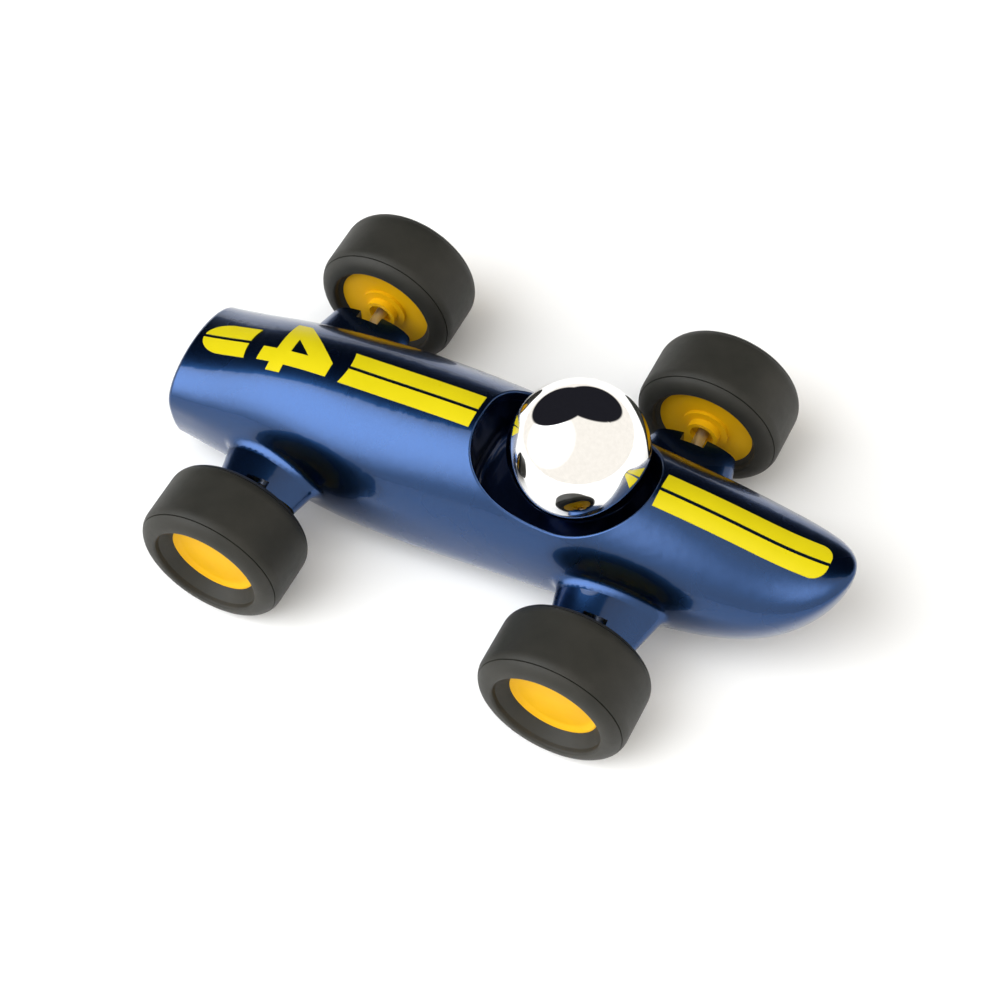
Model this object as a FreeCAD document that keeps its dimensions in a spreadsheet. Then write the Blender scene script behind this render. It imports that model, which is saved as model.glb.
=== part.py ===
import FreeCAD, Part
import math
import os
import Sketcher

# A small push-along toy racing car: a cigar-shaped moulded body on two free-rolling
# axles, with a polished ball for the driver's head.
# Frame: +Z up, nose towards -X, left side towards -Y.
# Origin: on the ground, under the middle of the body's length.

DIMENSIONS = {
    # whole car
    "wheelbase": 91.0,
    "tyre_inner_face": 34.4,
    "half_axle": 47.2,
    "axle_height": 19.0,
    "body_length": 176.0,
    "front_overhang": 33.25,
    # wheels
    "tyre_radius": 19.0,
    "tyre_width": 20.0,
    "tyre_shoulder": 4.4,
    "crease_inset": 2.0,
    "crease_width": 0.25,
    "crease_radius": 17.95,
    "tyre_lip_radius": 13.5,
    "tyre_lip_depth": 1.4,
    "tyre_lip_fillet": 0.7,
    "rim_radius": 11.2,
    "rim_depth": 4.2,
    "inner_rim_radius": 12.4,
    "inner_rim_depth": 2.3,
    "flange_thickness": 1.5,
    "bead_seat_radius": 10.4,
    "sidewall_radius": 13.8,
    "dish_rim_radius": 10.8,
    "dish_depth": 0.7,
    "dish_radius": 9.6,
    "dish_fillet": 2.5,
    "boss_radius": 6.2,
    "boss_height": 0.9,
    "boss_tip_radius": 4.2,
    "boss_tip_height": 2.8,
    "boss_recess_radius": 3.1,
    "boss_recess_depth": 1.6,
    # axles
    "axle_radius": 1.5,
    "axle_chamfer": 0.3,
    "running_clearance": 0.06,
    "bush_radius": 2.6,
    "bush_flange_radius": 3.6,
    "bush_flange_thickness": 0.8,
    "bush_inner_end": 13.0,
    "bush_outer_end": 26.3,
    "retainer_radius": 3.0,
    "retainer_thickness": 0.8,
    "retainer_gap": 0.3,
    # body shell
    "wall": 2.5,
    "ground_clearance": 4.0,
    "cavity_start": 13.5,
    "intake_margin": 4.2,
    "intake_depth": 9.0,
    "nose_edge": 1.4,
    "rim_edge": 0.5,
    # axle pods
    "pod_end": 30.0,
    "pod_half_length": 10.9,
    "pod_half_height": 4.6,
    "pod_root": 21.0,
    "pod_root_depth": 10.0,
    "pod_length_taper": 2.3,
    "pod_height_taper": 1.2,
    "pod_fillet": 3.0,
    "slot_width": 6.2,
    "slot_depth": 2.6,
    "housing_radius": 4.2,
    "housing_end": 25.0,
    # cockpit, in from the middle of the wheelbase
    "cockpit_front": 3.0,
    "cockpit_widest": 26.0,
    "cockpit_rear": 47.8,
    "cockpit_half_width": 16.7,
    "tub_wall": 1.5,
    "tub_floor": 26.5,
    "tub_floor_thickness": 1.8,
    "tub_clearance": 0.05,
    "tub_corner": 4.0,
    "seat_radius": 6.6,
    # driver's head and its fixing
    "head_radius": 17.0,
    "head_wall": 2.0,
    "head_boss_radius": 5.0,
    "head_boss_height": 5.8,
    "head_height": 44.7,
    "head_offset": 28.0,
    "head_flat": 15.6,
    "neck_radius": 3.0,
    "neck_length": 9.0,
    "neck_hole_clearance": 0.1,
    "washer_radius": 5.0,
    "washer_thickness": 0.8,
    "neck_lift": 0.2,
    "screw_radius": 1.25,
    "screw_head_radius": 2.6,
    "screw_head_thickness": 1.8,
    "recess_width": 0.7,
    "recess_length": 2.8,
    "recess_depth": 1.0,
    "head_screw_length": 8.0,
    # underbody plate
    "plate_front": 16.0,
    "plate_length": 98.0,
    "plate_width": 18.0,
    "plate_gap": 0.15,
    "plate_tongue": 3.0,
    "plate_tongue_thickness": 1.2,
    "plate_screw_front": 26.0,
    "plate_screw_rear": 66.0,
    "plate_screw_length": 9.0,
    "counterbore_radius": 2.9,
    "counterbore_depth": 1.9,
    "screw_hole_radius": 1.4,
    "post_radius": 3.2,
    # graphics
    "graphic_thickness": 0.2,
    "stripe_half_width": 4.8,
    "stripe_gap": 0.5,
    "graphic_base": 24.0,
    "nose_stripe_front": -76.0,
    "nose_stripe_shoulder": -69.0,
    "front_stripe_rear": 1.5,
    "rear_stripe_front": 49.0,
    "rear_stripe_rear": 91.2,
    "rear_stripe_corner": 3.6,
    "number_circle": 14.4,
    "number_centre": -47.7,
    "number_height": 19.8,
    "number_width": 16.6,
    "number_stroke": 4.0,
    "number_foot": 3.9,
    "number_overhang": 2.2,
    "number_diagonal": 4.5,
    "number_offset": 2.5,
}

# Body stations from the nose back: distance from the nose, half width, top, bottom,
# height of the widest point, roundness of the lower half (2 is an ellipse)
BODY_STATIONS = [
    (0.0, 16.7, 31.5, 3.0, 21.4, 3.0),
    (12.0, 18.1, 35.2, 3.0, 20.8, 3.0),
    (28.0, 20.0, 40.1, 3.0, 20.2, 3.0),
    (53.0, 22.7, 42.9, 3.0, 19.6, 3.0),
    (88.0, 21.5, 44.9, 3.0, 21.1, 3.0),
    (120.0, 20.1, 42.7, 4.0, 21.8, 2.7),
    (144.0, 18.5, 40.0, 6.0, 22.4, 2.3),
    (162.0, 14.7, 37.4, 11.9, 27.0, 2.0),
    (176.0, 0.0, 36.4, 36.4, 36.4, 2.0),
]
TAIL_START = 160.0
TAIL_ANGLES = (20, 38, 54, 68, 79, 86, 89)
UPPER_ROUNDNESS = 2.0
SECTION_POINTS = 28
STATION_SPACING = 11.0

CORNERS = {
    "front_left": ("front", -1),
    "front_right": ("front", 1),
    "rear_left": ("rear", -1),
    "rear_right": ("rear", 1),
}

doc = FreeCAD.newDocument("push_along_racer")
sheet = doc.addObject("Spreadsheet::Sheet", "dimensions")
for row, (alias, value) in enumerate(DIMENSIONS.items(), start=1):
    sheet.set(f"A{row}", alias)
    sheet.set(f"B{row}", str(value))
    sheet.setAlias(f"B{row}", alias)
doc.recompute()

sub_parts = []


def size(alias):
    return float(sheet.get(alias))


def vector(x, y, z):
    return FreeCAD.Vector(x, y, z)


# ---------------------------------------------------------------- places

nose_x = -size("body_length") / 2
axle_x = {"front": nose_x + size("front_overhang")}
axle_x["rear"] = axle_x["front"] + size("wheelbase")
middle_x = (axle_x["front"] + axle_x["rear"]) / 2
head_x = middle_x + size("head_offset")
axle_z = size("axle_height")


# ---------------------------------------------------------------- parametric helpers

def bind(thing, prop, expression):
    thing.setExpression(prop, expression)


def keep(thing, node, placement=None):
    thing.Label = node
    if placement is not None:
        thing.Placement = placement
    sub_parts.append(thing)


def plane_of(body, role):
    return next(item for item in body.Origin.OriginFeatures if item.Role == role)


def turn_section(body, kind, name, corners):
    """Turns a half section about the body's own X axis.

    corners holds the half section as (along the axis, out from the axis), each an
    expression on the sheet; a plain "0" lies on that axis.
    """
    sketch = body.newObject("Sketcher::SketchObject", name + "_section")
    sketch.AttachmentSupport = [(plane_of(body, "XY_Plane"), "")]
    sketch.MapMode = "FlatFace"
    points = [vector(value_of(along), value_of(out), 0) for along, out in corners]
    count = len(points)
    for index in range(count):
        sketch.addGeometry(Part.LineSegment(points[index], points[(index + 1) % count]))
    for index in range(count):
        sketch.addConstraint(Sketcher.Constraint("Coincident", index, 2, (index + 1) % count, 1))
    for index, (along, out) in enumerate(corners):
        place_corner(sketch, index, "DistanceX", -2, along)
        place_corner(sketch, index, "DistanceY", -1, out)
    turn = body.newObject(f"PartDesign::{kind}", name)
    turn.Profile = sketch
    turn.ReferenceAxis = (sketch, ["H_Axis"])
    turn.Angle = 360
    doc.recompute()


def turned_body(node, corners, placement):
    body = doc.addObject("PartDesign::Body", node)
    turn_section(body, "Revolution", f"{node}_turned", corners)
    keep(body, node, placement)
    return body


def place_corner(sketch, index, kind, axis, expression):
    if expression == "0":
        sketch.addConstraint(Sketcher.Constraint("PointOnObject", index, 1, axis))
        return
    number = sketch.addConstraint(
        Sketcher.Constraint(kind, -1, 1, index, 1, value_of(expression)))
    sketch.setExpression(f"Constraints[{number}]", on_sheet(expression))


def on_sheet(expression):
    words = expression.split()
    return " ".join(f"dimensions.{word}" if word in DIMENSIONS else word for word in words)


def value_of(expression):
    """Value of a sum or difference of sheet names and numbers."""
    total, sign = 0.0, 1
    for word in expression.split():
        if word in "+-":
            sign = 1 if word == "+" else -1
        else:
            total += sign * (size(word) if word in DIMENSIONS else float(word))
    return total


def round_edges(body, radius_alias, circles):
    """Fillets the round edges of a turned body, given as (along, out) in its half section."""
    tip = body.Tip
    names = [f"Edge{number}" for number, edge in enumerate(tip.Shape.Edges, start=1)
             if any(is_circle(edge, along, out) for along, out in circles)]
    fillet = body.newObject("PartDesign::Fillet", f"{body.Name}_{radius_alias}")
    fillet.Base = (tip, names)
    bind(fillet, "Radius", f"dimensions.{radius_alias}")
    body.Tip = fillet
    doc.recompute()


def is_circle(edge, along, out):
    box = edge.BoundBox
    return (abs(box.XMin - along) < 0.01 and abs(box.XMax - along) < 0.01
            and abs(box.YMax - out) < 0.01)


def shaped(node, shape, placement=None):
    thing = doc.addObject("Part::Feature", node)
    thing.Shape = shape
    keep(thing, node, placement)
    return thing


# ---------------------------------------------------------------- body surface

def super_curve(x, half_width, above, below, middle, roundness):
    """Closed section of the body at x: an ellipse above its middle, a squarer curve below."""
    points = []
    for step in range(SECTION_POINTS):
        angle = 2 * math.pi * step / SECTION_POINTS
        across, up = math.cos(angle), math.sin(angle)
        height, power = (above, 2 / UPPER_ROUNDNESS) if up >= 0 else (below, 2 / roundness)
        y = half_width * math.copysign(abs(across) ** power, across)
        z = middle + height * math.copysign(abs(up) ** power, up)
        points.append(vector(x, y, z))
    curve = Part.BSplineCurve()
    curve.interpolate(Points=points, PeriodicFlag=True)
    return Part.Wire(curve.toShape())


def profile(values):
    """Smooth curve along the body through one value at each station."""
    distances = [row[0] for row in BODY_STATIONS]
    curve = Part.BSplineCurve()
    curve.interpolate(Points=[vector(distance, value, 0)
                              for distance, value in zip(distances, values)],
                      Parameters=distances)
    return curve


# Widths and heights run through the stations as squares, which rounds the tail off.
squared_profiles = [profile([width ** 2 for _, width, _, _, _, _ in BODY_STATIONS]),
                    profile([(top - middle) ** 2 for _, _, top, _, middle, _ in BODY_STATIONS]),
                    profile([(middle - low) ** 2 for _, _, _, low, middle, _ in BODY_STATIONS])]
plain_profiles = [profile([row[4] for row in BODY_STATIONS]),
                  profile([row[5] for row in BODY_STATIONS])]


def station(distance):
    """Half width, height above and below the middle, its height, and lower roundness."""
    squares = [curve.value(distance).y for curve in squared_profiles]
    return [math.sqrt(square) for square in squares] + [curve.value(distance).y
                                                        for curve in plain_profiles]


def body_solid(offset, first=0.0):
    """The smooth body grown by offset, starting first behind the nose."""
    count = round((TAIL_START - first) / STATION_SPACING)
    wires = []
    for step in range(count + 1):
        distance = first + (TAIL_START - first) * step / count
        width, above, below, middle, roundness = station(distance)
        wires.append(super_curve(nose_x + distance, width + offset, above + offset,
                                 below + offset, middle, roundness))
    growth = [1 + offset / value for value in station(TAIL_START)[:3]]
    reach = size("body_length") - TAIL_START
    for angle in TAIL_ANGLES:
        along = math.sin(math.radians(angle))
        *spans, middle, roundness = station(TAIL_START + reach * along)
        width, above, below = [span * grow for span, grow in zip(spans, growth)]
        wires.append(super_curve(nose_x + TAIL_START + (reach + offset) * along,
                                 width, above, below, middle, roundness))
    return Part.makeLoft(wires, True, False)


def cockpit_outline(grow, z):
    """Egg-shaped opening seen from above, squarer in front than behind."""
    front = middle_x + size("cockpit_front") - grow
    widest = middle_x + size("cockpit_widest")
    rear = middle_x + size("cockpit_rear") + grow
    half_width = size("cockpit_half_width") + grow
    points = []
    for step in range(32):
        angle = 2 * math.pi * step / 32
        along, across = math.cos(angle), math.sin(angle)
        reach, roundness = (rear - widest, 2.2) if along >= 0 else (widest - front, 3.0)
        power = 2 / roundness
        x = widest + reach * math.copysign(abs(along) ** power, along)
        y = half_width * math.copysign(abs(across) ** power, across)
        points.append(vector(x, y, z))
    curve = Part.BSplineCurve()
    curve.interpolate(Points=points, PeriodicFlag=True)
    return Part.Face(Part.Wire(curve.toShape()))


def ellipse_wire(centre, half_length, half_height):
    """Ellipse in the XZ plane, long axis along X."""
    ellipse = Part.Ellipse(centre + vector(half_length, 0, 0),
                           centre + vector(0, 0, half_height), centre)
    return Part.Wire(ellipse.toShape())


def axle_cylinder(x, radius, start, end):
    """Cylinder along Y round an axle at x, from y = start to y = end."""
    low, high = sorted((start, end))
    return Part.makeCylinder(radius, high - low, vector(x, low, axle_z), vector(0, 1, 0))


def pod(x, side):
    """Stub that carries the axle out from the body, tapering outwards."""
    root, end = size("pod_root"), size("pod_end")
    inside = root - size("pod_root_depth")
    taper = (inside - end) / (root - end)
    wires = [ellipse_wire(vector(x, side * inside, axle_z),
                          size("pod_half_length") + taper * size("pod_length_taper"),
                          size("pod_half_height") + taper * size("pod_height_taper")),
             ellipse_wire(vector(x, side * end, axle_z),
                          size("pod_half_length"), size("pod_half_height"))]
    return Part.makeLoft(wires, True, True)


def touches(shape, point):
    return min(face.distToShape(Part.Vertex(point))[0] for face in shape.Faces) < 0.001


def shared_edges(fused, first, others):
    """Edges of a fused solid that lie on its first piece and on one of the others."""
    found = []
    for edge in fused.Edges:
        point = edge.valueAt((edge.FirstParameter + edge.LastParameter) / 2)
        if touches(first, point) and any(touches(other, point) for other in others):
            found.append(edge)
    return found


def edges_at(shape, axis, place, tolerance=0.01):
    """Edges lying wholly in the plane axis = place."""
    low, high = {"x": ("XMin", "XMax"), "z": ("ZMin", "ZMax")}[axis]
    return [edge for edge in shape.Edges
            if abs(getattr(edge.BoundBox, low) - place) < tolerance
            and abs(getattr(edge.BoundBox, high) - place) < tolerance]


def block(low, high):
    span = high - low
    return Part.makeBox(span.x, span.y, span.z, low)


def stadium(front, length, width, low, high):
    """Upright prism with round ends, from x = front to front + length."""
    radius = width / 2
    straight = block(vector(front + radius, -radius, low),
                     vector(front + length - radius, radius, high))
    ends = [Part.makeCylinder(radius, high - low, vector(x, 0, low))
            for x in (front + radius, front + length - radius)]
    return straight.fuse(ends).removeSplitter()


# ---------------------------------------------------------------- body shell

side_corners = [(axle_x[end], side) for end, side in CORNERS.values()]
below = size("ground_clearance")
inside_floor = below + size("wall")
far = 200.0
under_tub = size("tub_floor") - size("tub_floor_thickness")
plate_front = nose_x + size("plate_front")
plate_screws_x = [nose_x + size("plate_screw_front"), nose_x + size("plate_screw_rear")]


def body_skin():
    """Outside of the body: the smooth shape with its four pods, flat underneath."""
    smooth = body_solid(0)
    smooth = smooth.makeFillet(size("nose_edge"), edges_at(smooth, "x", nose_x))
    pods = [pod(x, side) for x, side in side_corners]
    fused = smooth.fuse(pods)
    skin = fused.makeFillet(size("pod_fillet"), shared_edges(fused, smooth, pods))
    return skin.cut(block(vector(-far, -far, -far), vector(far, far, below)))


def body_cavity():
    """Hollow inside the body, round its axle housings and screw posts."""
    cavity = body_solid(-size("wall"), size("cavity_start"))
    cavity = cavity.cut(block(vector(-far, -far, -far), vector(far, far, inside_floor)))
    for x, side in side_corners:
        cavity = cavity.cut(axle_cylinder(x, size("housing_radius"),
                                          side * size("bush_inner_end"),
                                          side * size("housing_end")))
    for x in plate_screws_x:
        cavity = cavity.cut(Part.makeCylinder(size("post_radius"), far, vector(x, 0, inside_floor)))
    return cavity


def axle_slot(x, side):
    """Open-topped slot at the end of a pod, where the axle shows."""
    start, end = size("pod_end") - size("slot_depth"), size("pod_end") + 1
    half = size("slot_width") / 2
    low, high = sorted((side * start, side * end))
    above = block(vector(x - half, low, axle_z), vector(x + half, high, axle_z + 10))
    return axle_cylinder(x, half, side * start, side * end).fuse(above)


def body_shell():
    opening = cockpit_outline(0, under_tub).extrude(vector(0, 0, far))
    shell = body_skin().cut(opening)
    shell = shell.makeFillet(size("rim_edge"), shared_edges(shell, opening, [body_solid(0)]))
    shell = shell.cut(body_cavity())
    width, above, _, middle, roundness = station(0)
    margin = size("intake_margin")
    intake = Part.Face(super_curve(nose_x, width - margin, above - margin,
                                   middle - size("ground_clearance") - margin,
                                   middle, roundness))
    shell = shell.cut(intake.extrude(vector(size("intake_depth"), 0, 0)))
    for x, side in side_corners:
        shell = shell.cut(axle_cylinder(x, size("bush_radius"), 0,
                                        side * (size("pod_end") - size("slot_depth") + 0.1)))
        shell = shell.cut(axle_slot(x, side))
    shell = shell.cut(stadium(plate_front, size("plate_length"), size("plate_width"),
                              below - 1, inside_floor))
    for x in plate_screws_x:
        shell = shell.cut(Part.makeCylinder(size("screw_radius"), size("plate_screw_length"),
                                            vector(x, 0, inside_floor)))
    return shell


shaped("body_shell", body_shell())


def cockpit_tub():
    """Cup under the cockpit opening, with a raised seat for the driver's head."""
    outer = cockpit_outline(size("tub_wall"), under_tub).extrude(vector(0, 0, far))
    inner = cockpit_outline(0, size("tub_floor")).extrude(vector(0, 0, far))
    bottom_edges = edges_at(inner, "z", size("tub_floor"))
    inner = inner.makeFillet(size("tub_corner"), bottom_edges)
    tub = outer.common(body_solid(-size("wall") - size("tub_clearance"),
                                  size("cavity_start"))).cut(inner)
    seat_top = size("head_height") - size("head_flat")
    seat = Part.makeCylinder(size("seat_radius"), seat_top - under_tub,
                             vector(head_x, 0, under_tub))
    hole = Part.makeCylinder(size("neck_radius") + size("neck_hole_clearance"), far,
                             vector(head_x, 0, 0))
    return tub.fuse(seat).cut(hole).removeSplitter()


shaped("cockpit_tub", cockpit_tub())


# ---------------------------------------------------------------- parametric primitives

def primitive(kind, name, **expressions):
    thing = doc.addObject(f"Part::{kind}", name)
    for prop, expression in expressions.items():
        bind(thing, prop, on_sheet(expression))
    return thing


def boolean(kind, name, base, tool):
    thing = doc.addObject(f"Part::{kind}", name)
    thing.Base = base
    thing.Tool = tool
    return thing


def lift(thing, z, x="0", y="0"):
    bind(thing, "Placement.Base.x", on_sheet(x))
    bind(thing, "Placement.Base.y", on_sheet(y))
    bind(thing, "Placement.Base.z", on_sheet(z))
    return thing


def grouped(node, things, placement):
    group = doc.addObject("Part::Compound", node)
    group.Links = things
    keep(group, node, placement)
    return group


# ---------------------------------------------------------------- driver's head

ball = primitive("Sphere", "head_ball", Radius="head_radius")
bind(ball, "Angle1", "-asin(dimensions.head_flat / dimensions.head_radius)")
hollow = primitive("Sphere", "head_hollow", Radius="head_radius - head_wall")
boss = lift(primitive("Cylinder", "head_boss", Radius="head_boss_radius",
                      Height="head_boss_height"), "0 - head_flat")
neck_bore = lift(primitive("Cylinder", "head_bore", Radius="neck_radius",
                           Height="head_flat"), "0 - head_flat")
head_shell = boolean("Fuse", "head_shell", boolean("Cut", "head_hollowed", ball, hollow), boss)
head = boolean("Cut", "head_bored", head_shell, neck_bore)
keep(head, "driver_head", FreeCAD.Placement(vector(head_x, 0, size("head_height")),
                                            FreeCAD.Rotation()))

neck_rod = primitive("Cylinder", "neck_rod", Radius="neck_radius", Height="neck_length")
neck_pilot = primitive("Cylinder", "neck_pilot", Radius="screw_radius",
                       Height="head_screw_length")
neck = boolean("Cut", "neck_bored", neck_rod, neck_pilot)
keep(neck, "driver_neck",
     FreeCAD.Placement(vector(head_x, 0, under_tub + size("neck_lift")), FreeCAD.Rotation()))

washer_disc = primitive("Cylinder", "washer_disc", Radius="washer_radius",
                        Height="washer_thickness")
washer_hole = primitive("Cylinder", "washer_hole", Radius="screw_hole_radius",
                        Height="washer_thickness")
washer = boolean("Cut", "washer_ring", washer_disc, washer_hole)
keep(washer, "head_washer",
     FreeCAD.Placement(vector(head_x, 0, under_tub - size("washer_thickness")),
                       FreeCAD.Rotation()))


def screw(name, length_alias):
    """Pan-head screw pointing up, its bearing face at z = 0, with a cross recess."""
    screw_head = lift(primitive("Cylinder", f"{name}_head", Radius="screw_head_radius",
                                Height="screw_head_thickness"), "0 - screw_head_thickness")
    shank = primitive("Cylinder", f"{name}_shank", Radius="screw_radius", Height=length_alias)
    solid = boolean("Fuse", f"{name}_solid", screw_head, shank)
    slots = []
    for turn, along, across in (("lengthways", "recess_length", "recess_width"),
                                ("crossways", "recess_width", "recess_length")):
        slot = primitive("Box", f"{name}_{turn}", Length=along, Width=across,
                         Height="recess_depth")
        bind(slot, "Placement.Base.x", f"-dimensions.{along} / 2")
        bind(slot, "Placement.Base.y", f"-dimensions.{across} / 2")
        bind(slot, "Placement.Base.z", "-dimensions.screw_head_thickness")
        slots.append(slot)
    return boolean("Cut", name, solid, boolean("Fuse", f"{name}_recess", *slots))


keep(screw("head_screw_body", "head_screw_length"), "head_screw",
     FreeCAD.Placement(vector(head_x, 0, under_tub - size("washer_thickness")),
                       FreeCAD.Rotation()))


# ---------------------------------------------------------------- underbody plate

def underbody_plate():
    gap = size("plate_gap")
    front, length = plate_front + gap, size("plate_length") - 2 * gap
    plate = stadium(front, length, size("plate_width") - 2 * gap, below, inside_floor)
    rear = plate_front + size("plate_length")
    tongue_half = size("plate_width") / 4
    top = inside_floor + size("plate_tongue_thickness")
    tongue = block(vector(rear - 2 * size("plate_tongue"), -tongue_half, inside_floor),
                   vector(rear + size("plate_tongue"), tongue_half, top))
    plate = plate.fuse(tongue)
    for x in plate_screws_x:
        plate = plate.cut(Part.makeCylinder(size("screw_hole_radius"), far, vector(x, 0, 0)))
        plate = plate.cut(Part.makeCylinder(size("counterbore_radius"),
                                            size("counterbore_depth"), vector(x, 0, below)))
    return plate.removeSplitter()


shaped("underbody_plate", underbody_plate())

bearing_z = below + size("counterbore_depth")
plate_screws = []
for number, x in enumerate(plate_screws_x, start=1):
    plate_screw = screw(f"plate_screw_{number}", "plate_screw_length")
    plate_screw.Placement = FreeCAD.Placement(vector(x, 0, 0), FreeCAD.Rotation())
    plate_screws.append(plate_screw)
grouped("underbody_screws", plate_screws,
        FreeCAD.Placement(vector(0, 0, bearing_z), FreeCAD.Rotation()))


# ---------------------------------------------------------------- wheels and axles

def outward(side):
    """Turns the X axis to point away from the car on this side."""
    return FreeCAD.Rotation(vector(0, 0, 1), 90 * side)


tyre_section = [
    ("inner_rim_depth", "inner_rim_radius"),
    ("inner_rim_depth + flange_thickness", "inner_rim_radius"),
    ("inner_rim_depth + flange_thickness", "bead_seat_radius"),
    ("tyre_width - rim_depth - flange_thickness", "bead_seat_radius"),
    ("tyre_width - rim_depth - flange_thickness", "rim_radius"),
    ("tyre_width - rim_depth", "rim_radius"),
    ("tyre_width - tyre_lip_depth", "tyre_lip_radius"),
    ("tyre_width", "sidewall_radius"),
    ("tyre_width", "tyre_radius"),
    ("0", "tyre_radius"),
    ("0", "sidewall_radius"),
    ("tyre_lip_depth", "tyre_lip_radius"),
]
hub_section = [
    ("half_axle - tyre_inner_face", "0"),
    ("half_axle - tyre_inner_face", "axle_radius"),
    ("inner_rim_depth - boss_tip_height + boss_recess_depth", "axle_radius"),
    ("inner_rim_depth - boss_tip_height + boss_recess_depth", "boss_recess_radius"),
    ("inner_rim_depth - boss_tip_height", "boss_recess_radius"),
    ("inner_rim_depth - boss_tip_height", "boss_tip_radius"),
    ("inner_rim_depth - boss_height", "boss_tip_radius"),
    ("inner_rim_depth - boss_height", "boss_radius"),
    ("inner_rim_depth", "boss_radius"),
    ("inner_rim_depth", "inner_rim_radius"),
    ("inner_rim_depth + flange_thickness", "inner_rim_radius"),
    ("inner_rim_depth + flange_thickness", "bead_seat_radius"),
    ("tyre_width - rim_depth - flange_thickness", "bead_seat_radius"),
    ("tyre_width - rim_depth - flange_thickness", "rim_radius"),
    ("tyre_width - rim_depth", "rim_radius"),
    ("tyre_width - rim_depth", "dish_rim_radius"),
    ("tyre_width - rim_depth - dish_depth", "dish_radius"),
    ("tyre_width - rim_depth - dish_depth", "0"),
]
tyre_creases = [
    [(near, "crease_radius"), (far_side, "crease_radius"),
     (far_side, "tyre_radius + crease_width"), (near, "tyre_radius + crease_width")]
    for near, far_side in (("crease_inset", "crease_inset + crease_width"),
                           ("tyre_width - crease_inset - crease_width",
                            "tyre_width - crease_inset"))
]
bush_bore = "axle_radius + running_clearance"
bush_section = [
    ("0", bush_bore),
    ("0", "bush_flange_radius"),
    ("bush_flange_thickness", "bush_flange_radius"),
    ("bush_flange_thickness", "bush_radius"),
    ("bush_outer_end - bush_inner_end + bush_flange_thickness", "bush_radius"),
    ("bush_outer_end - bush_inner_end + bush_flange_thickness", bush_bore),
]
bush_start = size("bush_inner_end") - size("bush_flange_thickness")

for corner, (end, side) in CORNERS.items():
    wheel_place = FreeCAD.Placement(vector(axle_x[end], side * size("tyre_inner_face"), axle_z),
                                    outward(side))
    tyre = turned_body(f"{corner}_tyre", tyre_section, wheel_place)
    round_edges(tyre, "tyre_shoulder", [(0, size("tyre_radius")),
                                        (size("tyre_width"), size("tyre_radius"))])
    round_edges(tyre, "tyre_lip_fillet", [(0, size("sidewall_radius")),
                                          (size("tyre_width"), size("sidewall_radius"))])
    for number, crease in enumerate(tyre_creases, start=1):
        turn_section(tyre, "Groove", f"{corner}_crease_{number}", crease)
    hub = turned_body(f"{corner}_hub", hub_section, wheel_place)
    dish_floor = size("tyre_width") - size("rim_depth") - size("dish_depth")
    round_edges(hub, "dish_fillet", [(dish_floor, size("dish_radius"))])
    bush_place = FreeCAD.Placement(vector(axle_x[end], side * bush_start, axle_z), outward(side))
    turned_body(f"{corner}_bush", bush_section, bush_place)

axle_section = [
    ("0", "0"),
    ("0", "axle_radius - axle_chamfer"),
    ("axle_chamfer", "axle_radius"),
    ("half_axle + half_axle - axle_chamfer", "axle_radius"),
    ("half_axle + half_axle", "axle_radius - axle_chamfer"),
    ("half_axle + half_axle", "0"),
]
retainer_start = bush_start - size("retainer_gap") - size("retainer_thickness")
for end in ("front", "rear"):
    turned_body(f"{end}_axle", axle_section,
                FreeCAD.Placement(vector(axle_x[end], -size("half_axle"), axle_z), outward(1)))
    rings = []
    for side in (-1, 1):
        name = f"{end}_retainer_{'left' if side < 0 else 'right'}"
        disc = primitive("Cylinder", f"{name}_disc", Radius="retainer_radius",
                         Height="retainer_thickness")
        bore = primitive("Cylinder", f"{name}_bore", Radius="axle_radius",
                         Height="retainer_thickness")
        ring = boolean("Cut", name, disc, bore)
        ring.Placement = FreeCAD.Placement(vector(0, side * retainer_start, 0),
                                           FreeCAD.Rotation(vector(1, 0, 0), -90 * side))
        rings.append(ring)
    grouped(f"{end}_axle_retainers", rings,
            FreeCAD.Placement(vector(axle_x[end], 0, axle_z), FreeCAD.Rotation()))


# ---------------------------------------------------------------- graphics

# The graphics are thin pieces on the body: prisms through its top, cut from a layer
# over the smooth surface. Lengths along the car count from the middle of the wheelbase.
smooth_body = body_solid(0)
skin_layer = smooth_body.translated(vector(0, 0, size("graphic_thickness"))).cut(smooth_body)
prism_base = size("graphic_base")
stripe = size("stripe_half_width")
number_middle = vector(middle_x + size("number_centre"), 0, prism_base)
number_clearance = Part.makeCylinder(size("number_circle"), far, number_middle)


def band(front, rear):
    return block(vector(middle_x + front, -stripe, prism_base),
                 vector(middle_x + rear, stripe, far))


def halves(prism):
    """A stripe cut along the car's middle line into its two halves."""
    gap = size("stripe_gap")
    split = block(vector(-far, -gap, -far), vector(far, gap, far))
    return prism.cut(split).Solids


def graphic(node, prisms):
    solids = [solid for prism in prisms for solid in skin_layer.common(prism).Solids]
    shaped(node, solids[0] if len(solids) == 1 else Part.makeCompound(solids))


def nose_stripes():
    front, shoulder = size("nose_stripe_front"), size("nose_stripe_shoulder")
    dome_middle = vector(middle_x + shoulder, 0, prism_base)
    dome = Part.Ellipse(dome_middle + vector(front - shoulder, 0, 0),
                        dome_middle + vector(0, stripe, 0), dome_middle)
    dome = Part.Face(Part.Wire(dome.toShape())).extrude(vector(0, 0, far))
    return dome.fuse(band(shoulder, size("number_centre"))).cut(number_clearance)


def rear_stripes():
    rear = size("rear_stripe_rear")
    prism = band(size("rear_stripe_front"), rear)
    corners = [edge for edge in prism.Edges
               if edge.BoundBox.ZLength > 1
               and abs(edge.BoundBox.XMin - middle_x - rear) < 0.01]
    return prism.makeFillet(size("rear_stripe_corner"), corners)


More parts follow.
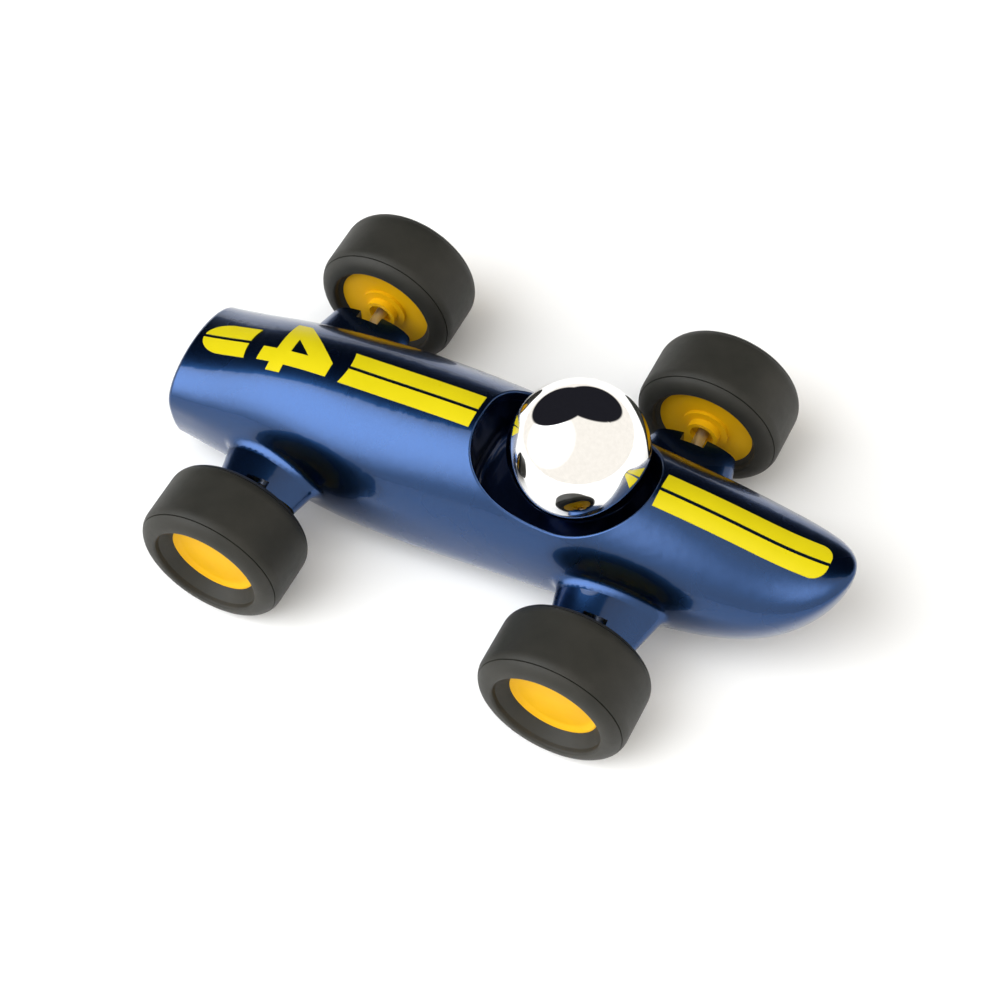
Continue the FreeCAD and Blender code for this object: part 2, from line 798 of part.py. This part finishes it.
def race_number():
    """Block numeral four, read from the front of the car.

    Corners are (across from its left edge, up from its foot); up points to the rear.
    """
    width, height, stroke = size("number_width"), size("number_height"), size("number_stroke")
    right = width - size("number_overhang")
    left = right - stroke
    bar_low = size("number_foot")
    bar_high = bar_low + stroke
    slope = (height - bar_high) / left
    reach = size("number_diagonal") * math.hypot(1, slope) / slope
    outline = [(left, 0), (right, 0), (right, bar_low), (width, bar_low), (width, bar_high),
               (right, bar_high), (right, height), (left, height), (0, bar_high), (0, bar_low),
               (left, bar_low)]
    counter = [(reach, bar_high), (left, bar_high), (left, bar_high + slope * (left - reach))]
    middle = (left + right) / 2
    offset = size("number_offset")

    def prism(corners):
        points = [number_middle + vector(up - height / 2, middle - across - offset, 0)
                  for across, up in corners]
        return Part.Face(Part.makePolygon(points + points[:1])).extrude(vector(0, 0, far))

    return prism(outline).cut(prism(counter))


graphic("nose_stripes", halves(nose_stripes()))
graphic("race_number", [race_number()])
graphic("front_stripes", halves(band(size("number_centre"), size("front_stripe_rear"))
                                .cut(number_clearance)))
graphic("rear_stripes", halves(rear_stripes()))


# ---------------------------------------------------------------- checks and files

doc.recompute()
for thing in doc.Objects:
    if "Invalid" in thing.State or "Error" in thing.State:
        raise RuntimeError(f"{thing.Label} failed: {thing.State}")
for thing in sub_parts:
    if thing.Shape.isNull() or not thing.Shape.isValid():
        raise RuntimeError(f"{thing.Label} has no valid shape")

os.makedirs("parts", exist_ok=True)
for thing in sub_parts:
    thing.Shape.exportStep(f"parts/{thing.Label}.step")
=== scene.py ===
import math

import bpy
from mathutils import Matrix, Vector

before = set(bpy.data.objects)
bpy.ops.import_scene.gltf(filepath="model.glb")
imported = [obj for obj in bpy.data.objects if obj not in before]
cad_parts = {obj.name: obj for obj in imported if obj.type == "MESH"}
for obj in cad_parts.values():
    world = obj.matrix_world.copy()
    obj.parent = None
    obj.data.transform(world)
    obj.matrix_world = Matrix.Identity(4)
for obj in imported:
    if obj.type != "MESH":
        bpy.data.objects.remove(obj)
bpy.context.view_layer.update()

MICROMETRE = 0.000001
CORNERS = ("front_left", "front_right", "rear_left", "rear_right")


# ---------------------------------------------------------------- materials

class Nodes:
    """A node material on one Principled shader, in object coordinates."""

    def __init__(self, name, **inputs):
        self.material = bpy.data.materials.new(name)
        self.material.use_nodes = True
        self.tree = self.material.node_tree
        self.shader = self.tree.nodes["Principled BSDF"]
        for key, value in inputs.items():
            self.shader.inputs[key.replace("_", " ")].default_value = value
        self.place = self.add("ShaderNodeTexCoord").outputs["Object"]

    def add(self, kind, **inputs):
        node = self.tree.nodes.new(kind)
        for key, value in inputs.items():
            node.inputs[key.replace("_", " ")].default_value = value
        return node

    def link(self, source, target):
        self.tree.links.new(source, target)

    def drive(self, source, socket):
        self.link(source, self.shader.inputs[socket])

    def noise(self, scale, stretch=(1, 1, 1)):
        mapping = self.add("ShaderNodeMapping", Scale=stretch)
        self.link(self.place, mapping.inputs["Vector"])
        noise = self.add("ShaderNodeTexNoise", Scale=scale, Detail=3.0, Roughness=0.5)
        self.link(mapping.outputs["Vector"], noise.inputs["Vector"])
        return noise.outputs["Fac"]

    def flakes(self, scale):
        cells = self.add("ShaderNodeTexVoronoi", Scale=scale)
        self.link(self.place, cells.inputs["Vector"])
        return cells.outputs["Color"]

    def ramp(self, source, low, high):
        """Turns a value into a colour, from low to high, each a position and a colour."""
        ramp = self.add("ShaderNodeValToRGB")
        for element, (position, color) in zip(ramp.color_ramp.elements, (low, high)):
            element.position = position
            element.color = (*color, 1)
        self.link(source, ramp.inputs["Fac"])
        return ramp.outputs["Color"]

    def spread(self, source, low, high):
        """Maps a 0 to 1 value to low to high."""
        value = self.add("ShaderNodeMapRange", To_Min=low, To_Max=high)
        self.link(source, value.inputs["Value"])
        return value.outputs["Result"]

    def bump(self, source, height):
        bump = self.add("ShaderNodeBump", Distance=height * MICROMETRE)
        self.link(source, bump.inputs["Height"])
        self.drive(bump.outputs["Normal"], "Normal")


def paint(name, deep, bright, roughness):
    """Lacquered metallic paint: fine flakes in the colour, under a clear coat."""
    nodes = Nodes(name, Metallic=1.0, Coat_Weight=0.55, Coat_Roughness=0.02, Coat_IOR=1.5)
    flakes = nodes.flakes(scale=9000)
    nodes.drive(nodes.ramp(flakes, (0.0, deep), (1.0, bright)), "Base Color")
    mottle = nodes.noise(scale=60)
    nodes.drive(nodes.spread(mottle, roughness - 0.03, roughness + 0.03), "Roughness")
    return nodes.material


def plastic(name, low, high, roughness, grain):
    """Moulded or printed plastic with a fine surface grain, in micrometres."""
    nodes = Nodes(name, Specular_IOR_Level=0.2)
    nodes.drive(nodes.ramp(nodes.noise(scale=90), (0.3, low), (0.7, high)), "Base Color")
    sheen = nodes.noise(scale=400)
    nodes.drive(nodes.spread(sheen, roughness - 0.05, roughness + 0.05), "Roughness")
    nodes.bump(nodes.noise(scale=2500), grain)
    return nodes.material


def metal(name, color, roughness, stretch=(1, 1, 1)):
    """Bare metal, a little darker and smoother in its grain. The stretch draws it out."""
    nodes = Nodes(name, Metallic=1.0)
    grain = nodes.noise(900, stretch)
    darker = [0.92 * channel for channel in color]
    nodes.drive(nodes.ramp(grain, (0.2, darker), (0.8, color)), "Base Color")
    nodes.drive(nodes.spread(grain, 0.8 * roughness, 1.2 * roughness), "Roughness")
    return nodes.material


def rubber(name, low, high, grain):
    """Matt rubber with a fine surface grain, in micrometres."""
    nodes = Nodes(name, Specular_IOR_Level=0.3)
    nodes.drive(nodes.ramp(nodes.noise(scale=120), (0.3, low), (0.7, high)), "Base Color")
    nodes.drive(nodes.spread(nodes.noise(scale=600), 0.48, 0.6), "Roughness")
    nodes.bump(nodes.noise(scale=3500), grain)
    return nodes.material


blue_paint = paint("blue_metallic_paint", (0.011, 0.040, 0.125), (0.018, 0.058, 0.17), 0.27)
# Painted shade: the body's blue paint made darker for the cockpit well, standing in for the
# shade that falls inside the recess
shaded_well_paint = paint("well_paint_with_painted_shade", (0.010, 0.022, 0.07), (0.016, 0.034, 0.10), 0.3)
yellow_print = plastic("yellow_graphic", (0.56, 0.47, 0.005), (0.61, 0.51, 0.007), 0.3, 4)
hub_plastic = plastic("hub_plastic", (0.64, 0.34, 0.001), (0.70, 0.38, 0.002), 0.5, 6)
dark_plastic = plastic("dark_plastic", (0.015, 0.02, 0.05), (0.02, 0.028, 0.07), 0.5, 10)
steel = metal("axle_steel", (0.76, 0.73, 0.66), 0.34, (1, 0.05, 1))
chrome = metal("head_chrome", (0.93, 0.93, 0.93), 0.015)
tyre_rubber = rubber("tyre_rubber", (0.015, 0.015, 0.012), (0.023, 0.022, 0.018), 20)

CAD_MATERIALS = {
    "body_shell": blue_paint,
    # The cockpit well takes the darker copy of the body paint, its painted shade
    "cockpit_tub": shaded_well_paint,
    "underbody_plate": dark_plastic,
    "driver_head": chrome,
    "driver_neck": dark_plastic,
    "head_washer": steel,
    "head_screw": steel,
    "underbody_screws": steel,
    "front_axle": steel,
    "rear_axle": steel,
    "front_axle_retainers": steel,
    "rear_axle_retainers": steel,
    "nose_stripes": yellow_print,
    "race_number": yellow_print,
    "front_stripes": yellow_print,
    "rear_stripes": yellow_print,
}
for corner in CORNERS:
    CAD_MATERIALS[f"{corner}_tyre"] = tyre_rubber
    CAD_MATERIALS[f"{corner}_hub"] = hub_plastic
    CAD_MATERIALS[f"{corner}_bush"] = dark_plastic

for node, material in CAD_MATERIALS.items():
    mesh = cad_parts[node].data
    mesh.materials.clear()
    mesh.materials.append(material)


# ---------------------------------------------------------------- floor, light and camera

# Angles are in degrees, with azimuth from -Y towards +X and elevation above the ground
CAMERA_AZIMUTH = 29.30
CAMERA_ELEVATION = 55.18
CAMERA_ROLL = -3.09
CAMERA_DISTANCE = 0.5243
CAMERA_TARGET = (-0.0001, -0.0051, 0.0192)
CAMERA_LENS = 77.4
FLOOR_SIZE = 6.0
TENT_WHITE = (1.08, 1.03, 0.95)
BACKDROP_WHITE = (1.1, 1.1, 1.1)
GLOW_COLOR = (4.6, 4.7, 4.8)
GLOW_PLACE = (-50, 42)
CURTAIN_COLOR = (0.015, 0.015, 0.02)
CURTAIN_PLACE = (CAMERA_AZIMUTH + 180, 40)
CURTAIN_SIDE = (CAMERA_AZIMUTH + 90, 0)
CURTAIN_WIDENING = 0.35
KEY_PLACE = (0.15, -0.55, 1.0)
KEY_TILT = 29
KEY_SIZE = 0.8
KEY_RADIANCE = 1.4
KEY_COLOR = (0.95, 0.98, 1.0)


def towards(azimuth, elevation):
    """Unit vector from the car towards a place round it."""
    a, e = math.radians(azimuth), math.radians(elevation)
    return (math.sin(a) * math.cos(e), -math.cos(a) * math.cos(e), math.sin(e))


def floor():
    bpy.ops.mesh.primitive_plane_add(size=FLOOR_SIZE)
    plane = bpy.context.object
    plane.name = "floor"
    nodes = Nodes("floor_white", Roughness=0.9, Specular_IOR_Level=0.1)
    nodes.drive(nodes.ramp(nodes.noise(scale=3), (0.3, (0.95, 0.95, 0.945)),
                           (0.7, (0.97, 0.97, 0.965))), "Base Color")
    plane.data.materials.append(nodes.material)


def key_softbox():
    """Square light above the car's left side, not seen in reflections."""
    light = bpy.data.lights.new("key_softbox", "AREA")
    light.shape = "SQUARE"
    light.size = KEY_SIZE
    light.energy = KEY_RADIANCE * math.pi * KEY_SIZE ** 2
    light.color = KEY_COLOR
    lamp = bpy.data.objects.new("key_softbox", light)
    lamp.location = KEY_PLACE
    lamp.rotation_euler = (math.radians(KEY_TILT), 0, 0)
    lamp.visible_glossy = False
    bpy.context.scene.collection.objects.link(lamp)


def camera():
    back = Vector(towards(CAMERA_AZIMUTH, CAMERA_ELEVATION))
    right = (-back).cross(Vector((0, 0, 1))).normalized()
    up = right.cross(-back)
    turn = math.radians(CAMERA_ROLL)
    across = right * math.cos(turn) + up * math.sin(turn)
    upward = up * math.cos(turn) - right * math.sin(turn)
    spot = Vector(CAMERA_TARGET) + back * CAMERA_DISTANCE
    data = bpy.data.cameras.new("camera")
    data.sensor_width = 36.0
    data.lens = CAMERA_LENS
    data.clip_start = 0.01
    thing = bpy.data.objects.new("camera", data)
    thing.matrix_world = Matrix((
        (across.x, upward.x, back.x, spot.x),
        (across.y, upward.y, back.y, spot.y),
        (across.z, upward.z, back.z, spot.z),
        (0, 0, 0, 1)))
    bpy.context.scene.collection.objects.link(thing)
    bpy.context.scene.camera = thing


class Tent:
    """World of an even white tent, to which other colours are blended."""

    # A mix node has one set of sockets for each kind of data: these are the colour's
    MIX_FIRST, MIX_SECOND, MIX_RESULT = 6, 7, 2

    def __init__(self, white):
        world = bpy.data.worlds.new("world")
        world.use_nodes = True
        bpy.context.scene.world = world
        self.tree = world.node_tree
        self.place = self.add("ShaderNodeTexCoord").outputs["Generated"]
        self.color = self.add("ShaderNodeRGB").outputs["Color"]
        self.color.default_value = (*white, 1)

    def add(self, kind, **settings):
        node = self.tree.nodes.new(kind)
        for key, value in settings.items():
            setattr(node, key, value)
        return node

    def link(self, source, target):
        self.tree.links.new(source, target)

    def along(self, azimuth, elevation):
        """Cosine of the angle from a place round the car."""
        dot = self.add("ShaderNodeVectorMath", operation="DOT_PRODUCT")
        dot.inputs[1].default_value = towards(azimuth, elevation)
        self.link(self.place, dot.inputs[0])
        return dot.outputs["Value"]

    def size_of(self, value):
        node = self.add("ShaderNodeMath", operation="ABSOLUTE")
        self.link(value, node.inputs[0])
        return node.outputs["Value"]

    def plus_scaled(self, value, other, factor):
        node = self.add("ShaderNodeMath", operation="MULTIPLY_ADD")
        self.link(other, node.inputs[0])
        node.inputs[1].default_value = factor
        self.link(value, node.inputs[2])
        return node.outputs["Value"]

    def direct_view(self):
        """One where the tent itself is looked at, nought where it lights or is mirrored."""
        return self.add("ShaderNodeLightPath").outputs["Is Camera Ray"]

    def blend(self, amount, low, high, color):
        """Turns the tent towards a colour as amount goes from low to high."""
        share = self.add("ShaderNodeMapRange", interpolation_type="SMOOTHSTEP")
        share.inputs["From Min"].default_value = low
        share.inputs["From Max"].default_value = high
        self.link(amount, share.inputs["Value"])
        mix = self.add("ShaderNodeMix", data_type="RGBA")
        mix.inputs[self.MIX_SECOND].default_value = (*color, 1)
        self.link(self.color, mix.inputs[self.MIX_FIRST])
        self.link(share.outputs["Result"], mix.inputs["Factor"])
        self.color = mix.outputs[self.MIX_RESULT]

    def finish(self):
        self.link(self.color, self.tree.nodes["Background"].inputs["Color"])


def surroundings():
    """A soft glow on one side and a dark curtain, widening sideways, behind the car."""
    tent = Tent(TENT_WHITE)
    tent.blend(tent.along(*GLOW_PLACE), 0.72, 1.0, GLOW_COLOR)
    sideways = tent.size_of(tent.along(*CURTAIN_SIDE))
    curtain = tent.plus_scaled(tent.along(*CURTAIN_PLACE), sideways, CURTAIN_WIDENING)
    tent.blend(curtain, 0.84, 0.87, CURTAIN_COLOR)
    tent.blend(tent.direct_view(), 0.0, 1.0, BACKDROP_WHITE)
    tent.finish()


floor()
surroundings()
key_softbox()
camera()
bpy.context.scene.view_settings.view_transform = "Standard"
